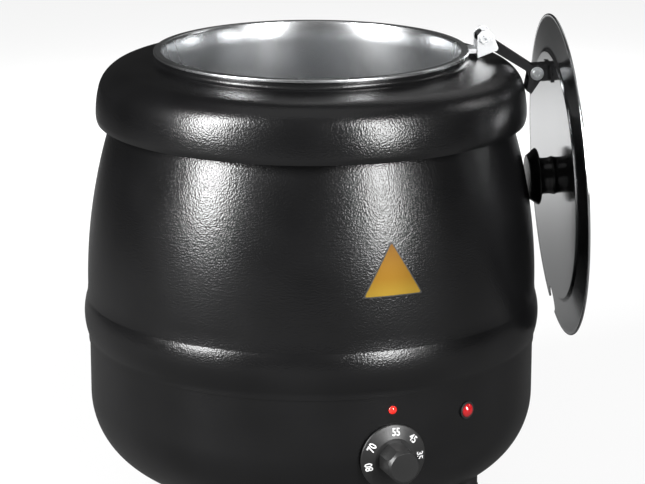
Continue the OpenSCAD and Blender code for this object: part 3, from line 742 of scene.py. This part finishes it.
    def collar_line(self) -> list[Point]:
        """Draws the line round the collar's wall.

        Returns:
            The line's points.
        """
        inner, outer, foot = (
            self.collar_r - self.collar_t, self.collar_r, self.collar_r + self.cove_round,
        )
        low = self.shoulder_top(foot)
        tail_z = self.collar_foot_z - self.collar_tail
        edge, edge_z = self.collar_edge, self.collar_top_z - self.collar_edge
        cove = (foot, low + self.cove_seat + self.cove_round)
        return (
            [(inner, tail_z), (outer, tail_z), (outer, self.collar_foot_z)]
            + [(foot, low), (foot, low + self.cove_edge)]
            + arc(cove, self.cove_round, self.cove_start, 180.0, 10)
            + arc((outer - edge, edge_z), edge, 0.0, 90.0, 4)
            + arc((inner + edge, edge_z), edge, 90.0, 180.0, 4)
        )

    def build(self) -> bpy.types.Object:
        """Models the shells.

        Returns:
            The upper shell, which carries the badge plate.
        """
        sheets = {}
        for name, node, line in (
            ("barrel_shell", "upper_shell", self.shell_line),
            ("bowl_shell", "lower_bowl", self.bowl_line),
            ("shoulder_shell", "shoulder_cover", self.shoulder_line),
        ):
            sheets[name] = spun(name, line(0.0) + line(self.sheet_t)[::-1])
            fit(sheets[name], "base", "black_coat", POWDER_COAT, node)
        collar = spun("collar_band", self.collar_line())
        fit(collar, "base", "black_coat", POWDER_COAT, "collar_ring")
        return sheets["barrel_shell"]


@dataclass
class BadgePlate:
    """A blank three-sided foil plate on the barrel above the dial, with a dark border."""

    side: float = 45.0
    centre_z: float = 203.6
    thickness: float = 0.35
    foil_in: float = 2.72
    foil_t: float = 0.15
    corner: float = 1.6
    corner_steps: int = 4
    hem: float = 0.3
    cuts: int = 7
    stand_off: float = 6.0
    gap: float = 0.05

    def build(self, wall: bpy.types.Object, barrel_r: float) -> None:
        """Models the plate and its border, curved to the wall.

        Args:
            wall: The shell that it lies on.
            barrel_r: The barrel's outer radius in mm.
        """
        place = on_wall(0.0, self.centre_z, barrel_r + self.stand_off)
        foil_side = self.side - self.foil_in
        border = self.leaf("badge_border", self.side, wall, place, 0.0, self.thickness)
        foil = self.leaf("badge_foil", foil_side, wall, place, self.thickness, self.foil_t)
        fit(border, "base", "black_plastic", NYLON)
        fit(foil, "base", "black_plastic", GoldFoil())

    def leaf(self, name: str, side: float, wall: bpy.types.Object, place: Matrix,
             lift: float, thickness: float) -> bpy.types.Object:
        """Models one three-sided leaf, laid on the wall.

        Args:
            name: The leaf's name.
            side: The length of its side in mm.
            wall: The shell that it lies on.
            place: A frame that stands off the wall and faces it.
            lift: How far it stands off the wall, in mm.
            thickness: Its thickness in mm.

        Returns:
            The leaf.
        """
        deselect()
        reach = side / math.sqrt(3.0)
        bpy.ops.mesh.primitive_circle_add(vertices=3, radius=reach * MM, fill_type="NGON")
        leaf = bpy.context.object
        leaf.name = name
        edit_all()
        bpy.ops.mesh.bevel(
            offset=self.corner * MM, segments=self.corner_steps, affect="VERTICES",
        )
        bpy.ops.mesh.select_all(action="SELECT")
        bpy.ops.mesh.inset(thickness=self.hem * MM)
        bpy.ops.mesh.select_all(action="SELECT")
        bpy.ops.mesh.quads_convert_to_tris()
        bpy.ops.mesh.subdivide(number_cuts=self.cuts)
        deselect()
        settle(leaf, place)
        apply_modifier(
            leaf, "SHRINKWRAP", target=wall, wrap_method="PROJECT", use_project_y=True,
            use_positive_direction=True, use_negative_direction=True,
            offset=(lift + self.gap) * MM,
        )
        apply_modifier(leaf, "SOLIDIFY", thickness=thickness * MM, offset=1.0)
        smooth(leaf, EDGE_ANGLE)
        return leaf


# ------------------------------------------------------------------ pot and lid


@dataclass
class Pot:
    """The lift-out pot with its rolled rim."""

    rim_z: float
    rim_r: float = 117.0
    rim_t: float = 2.5
    rim_round: float = 1.2
    rim_edge: float = 0.5
    pot_r: float = 108.0
    depth: float = 262.0
    corner: float = 20.0
    wall: float = 1.0
    flare_out: float = 3.0
    flare_h: float = 15.0
    throat_in: float = 0.6
    throat_drop: float = 2.2

    def outline(self) -> list[Point]:
        """Draws the pot's wall, from the middle of its floor up, over the rim and back.

        Returns:
            The line's points.
        """
        floor_z, under = self.rim_z - self.depth, self.rim_z - self.rim_t
        flare_z, curl_z = self.rim_z - self.flare_h, self.rim_z - self.rim_round
        inner, curl, edge = self.pot_r + self.flare_out, self.rim_round, self.rim_edge
        bend = (self.pot_r - self.corner, floor_z + self.corner)
        return (
            [(0.0, floor_z)]
            + arc(bend, self.corner, -90.0, 0.0, 16)
            + [(self.pot_r, flare_z), (inner - self.throat_in, self.rim_z - self.throat_drop)]
            + arc((inner + curl, curl_z), curl, 180.0, 90.0, 6)
            + arc((self.rim_r - curl, curl_z), curl, 90.0, 0.0, 8)
            + arc((self.rim_r - edge, under + edge), edge, 0.0, -90.0, 4)
            + [(inner + self.wall, under), (self.pot_r + self.wall, flare_z)]
            + arc(bend, self.corner + self.wall, 0.0, -90.0, 16)
            + [(0.0, floor_z - self.wall)]
        )

    def build(self) -> None:
        """Models the pot."""
        pot = spun("pot_shell", self.outline(), closed=False)
        fit(pot, "pot", "stainless", SPUN_STEEL, "soup_pot")


@dataclass
class Hinge:
    """The two-pivot hinge between the pot's rim and the lid."""

    rim_z: float
    azimuth: float = 75.3
    rim_pivot: Point = (128.0, 6.0)
    lid_pivot: Point = (81.0, 17.4)
    link_open: float = -33.5
    lid_lean: float = 3.0
    sheet_edge: float = 0.28
    turned_edge: float = 0.2

    def lid_frame(self) -> Matrix:
        """Works out where the open lid is.

        Returns:
            The frame that the lid is modelled in, as if it lay closed on the rim.
        """
        length, turn = math.dist(self.rim_pivot, self.lid_pivot), math.radians(self.link_open)
        far = self.rim_pivot[0] + length * math.cos(turn)
        high = self.rim_pivot[1] + length * math.sin(turn)
        return (
            at_azimuth(self.azimuth)
            @ moved(0.0, 0.0, self.rim_z)
            @ moved(far, 0.0, high)
            @ turned(270.0 - self.lid_lean, "Y")
            @ moved(-self.lid_pivot[0], 0.0, -self.lid_pivot[1])
        )

    def build(self) -> None:
        """Rounds the edges of the bent sheet and of the bolts."""
        for node, body, finish in (
            ("rim_clip", "pot", HINGE_STEEL), ("hinge_link", "link", LINK_STEEL_PAINTED_REFLECTION),
            ("lid_bracket", "lid", LINK_STEEL_PAINTED_REFLECTION),
        ):
            piece = softened(node, node + "_sheet", self.sheet_edge)
            fit(piece, body, "hinge_steel", finish, node)
        for node, body in (
            ("clip_bolt", "pot"), ("clip_nut", "pot"), ("lid_bolt", "lid"),
            ("lid_washer", "lid"), ("lid_nut", "lid"),
        ):
            piece = softened(node, node + "_turned", self.turned_edge)
            fit(piece, body, "hardware_steel", HARDWARE_STEEL, node)


@dataclass
class Lid:
    """The pressed lid with its raised panel, rolled bead, ladle notch and knob."""

    place: Matrix
    # Sheet: a raised panel, a step down from it, a sloped edge and a rolled bead.
    lid_r: float = 122.0
    sheet_t: float = 1.0
    panel_r: float = 94.5
    panel_h: float = 6.7
    panel_in: float = 2.4
    panel_round: float = 1.0
    step_over: tuple[Point, ...] = ((0.9, -1.15), (1.8, -1.55), (3.0, -1.7))
    step_under: tuple[Point, ...] = ((3.0, -1.7), (0.4, -1.3), (-0.8, 0.0))
    slope_in: float = 3.0
    edge_z: float = 2.6
    bead_r: float = 0.9
    bead_drop: float = 0.5
    screw_r: float = 2.4
    screw_gap: float = 0.1
    # Notch for the ladle.
    notch_w: float = 22.0
    notch_depth: float = 16.0
    notch_azimuth: float = 19.5
    tool_reach: float = 30.0
    # Knob: a foot, a stem that flares, a brim and a rounded top.
    knob_r: float = 21.5
    knob_h: float = 19.2
    stem_r: float = 13.6
    foot_line: tuple[Point, ...] = ((0.6, 0.0), (0.9, 0.4), (0.4, 1.8), (0.1, 3.0))
    flare_r: float = 10.0
    flare_h: float = 6.0
    flare_turn: float = 58.0
    brim_in: float = 0.7
    brim_drop: float = 7.9
    brim_r: float = 0.9
    brim_rise: float = 1.0
    top_in: float = 6.0
    top_r: float = 1.4
    top_line: Point = (1.6, -0.9)
    top_out: float = 0.6
    screw_edge: float = 0.25
    washer_edge: float = 0.15

    def outline(self) -> list[Point]:
        """Draws the lid's sheet, from the knob's screw outwards and back.

        Returns:
            The line's points.
        """
        top, edge, sheet = self.panel_h, self.edge_z, self.sheet_t
        bore, slope_r = self.screw_r + self.screw_gap, self.lid_r - self.slope_in
        step_r, curl = self.panel_r, self.panel_round
        return (
            [(bore, top), (step_r - self.panel_in, top)]
            + arc((step_r - curl, top - curl), curl, 90.0, 40.0, 5)
            + [(step_r + out, top + up) for out, up in self.step_over]
            + [(slope_r, edge)]
            + arc((self.lid_r - self.bead_r, edge - self.bead_drop), self.bead_r, 110.0, -180.0, 16)
            + [(slope_r, edge - sheet)]
            + [(step_r + out, top + up - sheet) for out, up in self.step_under]
            + [(bore, top - sheet)]
        )

    def notch_cutter(self) -> bpy.types.Object:
        """Models the tool that cuts the ladle notch: a long slot with a round end.

        Returns:
            The cutter, in the lid's frame.
        """
        deselect()
        half = self.notch_w / 2.0
        bpy.ops.mesh.primitive_cylinder_add(
            vertices=96, radius=half * MM, depth=self.tool_reach * MM,
        )
        cutter = bpy.context.object
        bpy.ops.object.mode_set(mode="EDIT")
        bpy.ops.mesh.select_all(action="DESELECT")
        bpy.ops.object.mode_set(mode="OBJECT")
        for vertex in cutter.data.vertices:
            vertex.select = vertex.co.x > WELD
        bpy.ops.object.mode_set(mode="EDIT")
        bpy.ops.transform.translate(value=(self.tool_reach * MM, 0.0, 0.0))
        deselect()
        out = moved(self.lid_r - self.notch_depth + half, 0.0, 0.0)
        settle(cutter, self.place @ turned(180.0 - self.notch_azimuth, "Z") @ out)
        return cutter

    def knob_line(self) -> list[Point]:
        """Draws the knob, from its foot up to its top.

        Returns:
            The line's points.
        """
        base, high, stem, tip = (
            self.panel_h, self.panel_h + self.knob_h, self.stem_r, self.knob_r - self.top_in,
        )
        flare = (stem + self.flare_r, base + self.flare_h)
        brim = (self.knob_r - self.brim_r, high - self.brim_drop + self.brim_rise)
        return (
            [(0.0, base)]
            + [(stem + out, base + up) for out, up in self.foot_line]
            + arc(flare, self.flare_r, 180.0, 180.0 - self.flare_turn, 14)
            + [(self.knob_r - self.brim_in, high - self.brim_drop)]
            + arc(brim, self.brim_r, -45.0, 40.0, 6)
            + [(tip + self.top_line[0], high + self.top_line[1])]
            + arc((tip + self.top_out, high - self.top_r), self.top_r, 45.0, 90.0, 6)
            + [(0.0, high)]
        )

    def build(self) -> None:
        """Models the lid's sheet, its knob and the knob's screw and washer."""
        sheet = spun("lid_sheet", self.outline(), self.place)
        cutter = self.notch_cutter()
        apply_modifier(sheet, "BOOLEAN", operation="DIFFERENCE", solver="EXACT", object=cutter)
        bpy.data.objects.remove(cutter)
        smooth(sheet)
        knob = spun(
            "knob_turned", self.knob_line(), self.place, steps=128, closed=False,
            sharp_angle=MOULDED_ANGLE,
        )
        fit(sheet, "lid", "stainless", POLISHED_STEEL, "lid_shell")
        fit(knob, "lid", "black_bakelite", BAKELITE, "lid_knob")
        for node, edge in (("knob_screw", self.screw_edge), ("knob_washer", self.washer_edge)):
            piece = softened(node, node + "_turned", edge)
            fit(piece, "lid", "hardware_steel", HARDWARE_STEEL, node)


# ------------------------------------------------------------------ controls


@dataclass
class Dial:
    """The thermostat's dial: a skirt with numerals and an eight-sided grip."""

    wall_r: float = 168.5
    axis_z: float = 72.0
    dial_r: float = 24.5
    grip_r: float = 12.6
    skirt_h: float = 4.6
    # Skirt: its bore and recess, its foot and edge, and the slope up to the grip.
    bore_r: float = 5.6
    recess_h: float = 2.6
    foot_line: tuple[Point, ...] = ((-3.0, 2.6), (-2.0, 0.0), (-0.2, 0.0), (0.0, 0.2), (0.0, 0.9))
    edge_r: float = 0.9
    edge_h: float = 0.95
    edge_turn: float = 72.0
    crest_line: tuple[Point, ...] = ((2.7, -0.06), (2.2, 0.0))
    grip_edge: float = 0.55
    # Numerals: their places round the dial, in degrees from the right, and their height.
    numerals: tuple[tuple[str, float], ...] = (
        ("35", 0.0), ("45", 43.0), ("55", 86.0), ("70", 150.0), ("80", 193.0),
    )
    numeral_h: float = 5.6
    numeral_r: float = 19.4
    numeral_narrow: float = 0.8
    numeral_t: float = 0.06
    numeral_bold: float = 0.12
    numeral_lift: float = 0.03
    cap_share: float = 0.72
    slope_low: Point = (0.7, 1.85)
    slope_in: float = 2.5

    def skirt_line(self) -> list[Point]:
        """Draws the line round the skirt's wall.

        Returns:
            The line's points.
        """
        rim, grip, top = self.dial_r, self.grip_r, self.skirt_h
        return (
            [(self.bore_r, self.recess_h)]
            + [(rim + out, up) for out, up in self.foot_line]
            + arc((rim - self.edge_r, self.edge_h), self.edge_r, 0.0, self.edge_turn, 6)
            + [(grip + out, top + up) for out, up in self.crest_line]
            + [(self.bore_r, top)]
        )

    def build(self) -> None:
        """Models the dial."""
        place = on_wall(0.0, self.axis_z, self.wall_r)
        skirt = spun("dial_skirt_moulded", self.skirt_line(), place, steps=128)
        fit(skirt, "dial", "black_bakelite", DIAL_PLASTIC, "dial_skirt")
        grip = softened("dial_grip", "dial_grip_moulded", self.grip_edge, segments=3)
        fit(grip, "dial", "black_bakelite", DIAL_PLASTIC, "dial_grip")
        for text, angle in self.numerals:
            self.numeral(text, angle, place)

    def numeral(self, text: str, angle: float, place: Matrix) -> None:
        """Prints one number on the skirt's sloped face.

        Args:
            text: The number.
            angle: Where it stands round the dial, in degrees from the right.
            place: The dial's frame.
        """
        deselect()
        bpy.ops.object.text_add()
        piece = bpy.context.object
        piece.data.body = text
        piece.data.align_x, piece.data.align_y = "CENTER", "CENTER"
        piece.data.size = self.numeral_h / self.cap_share * MM
        piece.data.extrude = self.numeral_t * MM
        piece.data.offset = self.numeral_bold * MM
        piece.data.resolution_u = 6
        bpy.ops.object.convert(target="MESH")
        piece = bpy.context.object
        piece.name = "numeral_" + text
        low_r, low_h = self.dial_r - self.slope_low[0], self.slope_low[1]
        slope = math.atan2(self.skirt_h - low_h, low_r - self.grip_r - self.slope_in)
        height = low_h + (low_r - self.numeral_r) * math.tan(slope)
        stand = (
            place
            @ turned(angle - 90.0, "Z")
            @ moved(0.0, self.numeral_r, height + self.numeral_lift)
            @ Matrix.Rotation(-slope, 4, "X")
            @ Matrix.Diagonal((self.numeral_narrow, 1.0, 1.0, 1.0))
        )
        settle(piece, stand)
        fit(piece, "dial", "black_bakelite", NUMERAL_WHITE)


@dataclass(frozen=True)
class Lens:
    """A domed red lens with its stem, sizes in mm from the wall."""

    name: str
    radius: float
    rise: float
    foot: float
    stem: float
    deep: float
    edge: float = 0.15
    dome_share: float = 0.7

    def build(self, place: Matrix) -> bpy.types.Object:
        """Models the lens.

        Args:
            place: The frame on the wall.

        Returns:
            The lens.
        """
        drop = self.radius * self.dome_share
        start = math.degrees(math.atan2(drop, self.radius))
        outline = (
            [(0.0, self.deep), (self.stem, self.deep), (self.stem, self.foot)]
            + [(self.radius - self.edge, self.foot), (self.radius, self.foot + self.edge)]
            + [(self.radius, self.rise)]
            + arc((0.0, self.rise - drop), math.hypot(self.radius, drop), start, 90.0, 20)
        )
        return spun(
            self.name, outline, place, steps=64, closed=False, sharp_angle=MOULDED_ANGLE,
        )


@dataclass
class Lamps:
    """The pilot lamp and the index jewel."""

    bowl_r: float = 168.0
    lamp_azimuth: float = 21.6
    lamp_z: float = 96.0
    jewel_z: float = 107.0
    ring_edge: float = 0.25
    lamp: Lens = Lens("pilot_lens_moulded", 5.0, 1.6, 0.6, 3.5, -5.0)
    jewel: Lens = Lens("jewel_moulded", 3.0, 0.6, 0.2, 1.95, -6.0)

    def build(self) -> None:
        """Models the lenses and the lamp's ring."""
        lens = self.lamp.build(on_wall(self.lamp_azimuth, self.lamp_z, self.bowl_r))
        fit(lens, "base", "red_lens", LAMP_RED, "pilot_lamp_lens")
        bead = self.jewel.build(on_wall(0.0, self.jewel_z, self.bowl_r))
        fit(bead, "base", "red_lens", GLOWING_JEWEL_RED, "index_jewel")
        ring = softened("pilot_lamp_body", "lamp_ring_moulded", self.ring_edge)
        fit(ring, "base", "black_plastic", NYLON, "pilot_lamp_body")


@dataclass
class Underside:
    """Feet, bottom cover, gland and the parts inside the body."""

    foot_edge: float = 0.8
    gland_edge: float = 0.4
    cover_edge: float = 0.3

    def build(self) -> None:
        """Rounds the small outside parts and dresses the inner ones."""
        for node in ("foot_front_right", "foot_back_right", "foot_back_left", "foot_front_left"):
            foot = softened(node, node + "_moulded", self.foot_edge, segments=3)
            fit(foot, "base", "rubber", FOOT_RUBBER, node)
        for node, finish, slot, edge in (
            ("cord_gland", NYLON, "black_plastic", self.gland_edge),
            ("bottom_cover", POWDER_COAT, "black_coat", self.cover_edge),
            ("bottom_screws", HARDWARE_STEEL, "hardware_steel", self.cover_edge),
            ("foot_screws", HARDWARE_STEEL, "hardware_steel", self.cover_edge),
        ):
            fit(softened(node, node + "_finished", edge), "base", slot, finish, node)
        for finish, nodes in (
            (SPUN_STEEL, ("water_well",)),
            (SILICONE, ("well_gasket",)),
            (WOOL, ("insulation_blanket",)),
            (CAST_ALUMINIUM, ("heater_plate",)),
            (HEATER_SHEATH, ("heater_element",)),
            (PLAIN_STEEL, ("heater_clamp",)),
            (HARDWARE_STEEL, ("clamp_nut", "thermostat_nut", "foot_nuts", "dial_shaft")),
            (CERAMIC, ("thermal_cutout", "thermostat_body", "terminal_block")),
            (COPPER, ("sensor_bulb",)),
            (NYLON, ("pilot_lamp_nut", "gland_nut")),
        ):
            for node in nodes:
                dress_node(node, finish)


# ------------------------------------------------------------------ studio


@dataclass(frozen=True)
class Softbox:
    """A soft light, placed by angles in degrees from the camera's and sizes in metres."""

    name: str
    azimuth: float
    elevation: float
    distance: float
    wide: float
    high: float
    watts: float
    faces_down: bool = False


@dataclass
class Studio:
    """The camera, the floor, the world and the soft lights."""

    azimuth: float = -20.0
    elevation: float = 15.2
    distance: float = 2.0
    target_z: float = 0.187
    lens_mm: float = 147.7
    sensor_mm: float = 36.0
    shift_x: float = 0.0175
    floor_half: float = 6.0
    floor_rough: float = 0.9
    white_share: float = 0.86
    pale: float = 0.82
    bounce: float = 0.13
    world_dim: float = 0.03
    softboxes: tuple[Softbox, ...] = (
        Softbox("left_box", -55.0, 25.0, 2.0, 0.55, 1.3, 90.0),
        Softbox("right_box", 37.0, 23.0, 2.0, 0.4, 1.4, 58.0),
        Softbox("rim_box", 106.0, 30.0, 2.0, 0.3, 0.6, 2.5),
        Softbox("top_box", -10.0, 82.0, 2.0, 1.8, 1.6, 4.0),
        Softbox("back_box", 160.0, 42.0, 2.4, 1.6, 1.2, 3.0),
        Softbox("floor_box", 180.0, 3.0, 1.15, 0.9, 0.6, 14.0, faces_down=True),
    )

    def build(self) -> None:
        """Sets the camera, the floor, the world and the lights."""
        self.camera()
        self.floor()
        self.world()
        for box in self.softboxes:
            self.light(box)
        bpy.context.scene.view_settings.view_transform = "Standard"

    def towards(self, azimuth: float, elevation: float, distance: float) -> Vector:
        """Finds a point seen from the kettle.

        Args:
            azimuth: Its direction from the camera's, in degrees, to the right.
            elevation: Its height in degrees.
            distance: Its distance in metres.

        Returns:
            The point in metres.
        """
        turn, rise = math.radians(self.azimuth + azimuth), math.radians(elevation)
        flat, high = distance * math.cos(rise), self.target_z + distance * math.sin(rise)
        return Vector((flat * math.sin(turn), -flat * math.cos(turn), high))

    def camera(self) -> None:
        """Adds the camera."""
        eye = self.towards(0.0, self.elevation, self.distance)
        look = Vector((0.0, 0.0, self.target_z)) - eye
        bpy.ops.object.camera_add(location=eye, rotation=look.to_track_quat("-Z", "Y").to_euler())
        camera = bpy.context.object
        camera.data.lens = self.lens_mm
        camera.data.sensor_width = self.sensor_mm
        camera.data.shift_x = self.shift_x
        bpy.context.scene.camera = camera

    def seen(self, net: Network, rays: bpy.types.Node) -> bpy.types.NodeSocket:
        """Tells the rays that show the background from those that light the object.

        Args:
            net: The nodes to add to.
            rays: The light path node.

        Returns:
            A socket that is 1 for the camera and for what is seen through glass, else 0.
        """
        seen = net.add("Math")
        seen.operation = "MAXIMUM"
        net.put(seen, {0: rays.outputs["Is Camera Ray"], 1: rays.outputs["Is Transmission Ray"]})
        return seen.outputs["Value"]

    def floor(self) -> None:
        """Adds the pale floor, which stays white to the camera but keeps the shadow."""
        deselect()
        bpy.ops.mesh.primitive_plane_add(size=2.0 * self.floor_half)
        floor = bpy.context.object
        floor.name = "floor"
        made = bpy.data.materials.new("pale_floor")
        net = Network(made)
        rays = net.add("LightPath")
        tone = net.add("MapRange", {
            "Value": rays.outputs["Is Camera Ray"], "To Min": self.bounce, "To Max": self.pale,
        })
        matt = net.own("Principled BSDF", {
            "Base Color": tone.outputs["Result"], "Roughness": self.floor_rough,
            "Specular IOR Level": 0.0,
        })
        share = net.add("Math", {0: self.seen(net, rays), 1: self.white_share})
        share.operation = "MULTIPLY"
        mix = net.add("MixShader", {
            "Fac": share.outputs["Value"], 1: matt.outputs["BSDF"],
            2: net.add("Emission").outputs["Emission"],
        })
        net.own("Material Output", {"Surface": mix.outputs["Shader"]})
        floor.data.materials.append(made)

    def world(self) -> None:
        """Sets a world that is white to the camera and dim to the object."""
        world = bpy.data.worlds.new("studio")
        bpy.context.scene.world = world
        net = Network(world)
        dim = net.own("Background", {"Color": (1.0, 1.0, 1.0, 1.0), "Strength": self.world_dim})
        mix = net.add("MixShader", {
            "Fac": self.seen(net, net.add("LightPath")), 1: dim.outputs["Background"],
            2: net.add("Background").outputs["Background"],
        })
        net.own("World Output", {"Surface": mix.outputs["Shader"]})

    def light(self, box: Softbox) -> None:
        """Adds one soft light that faces the kettle or the floor below it.

        Args:
            box: The light's place, size and power.
        """
        place = self.towards(box.azimuth, box.elevation, box.distance)
        aim = Vector((0.0, 0.0, self.target_z)) - place
        if box.faces_down:
            aim = Vector((0.0, 0.0, -1.0))
        turn = aim.to_track_quat("-Z", "Y").to_euler()
        bpy.ops.object.light_add(type="AREA", location=place, rotation=turn)
        light = bpy.context.object
        light.name = box.name
        light.data.shape = "RECTANGLE"
        light.data.size, light.data.size_y = box.wide, box.high
        light.data.energy = box.watts


def main(rim_gap: float = 0.3) -> None:
    """Builds the kettle's pieces in order.

    Args:
        rim_gap: How far the pot's rim stands above the collar, in mm.
    """
    logging.basicConfig(level=logging.INFO, format="%(name)s: %(message)s")
    body = Body()
    BadgePlate().build(body.build(), body.barrel_r)
    rim_z = body.collar_top_z + rim_gap + Pot.rim_t
    Pot(rim_z).build()
    hinge = Hinge(rim_z)
    hinge.build()
    Lid(hinge.lid_frame()).build()
    Dial().build()
    Lamps().build()
    Underside().build()
    Studio().build()


if __name__ == "__main__":
    main()
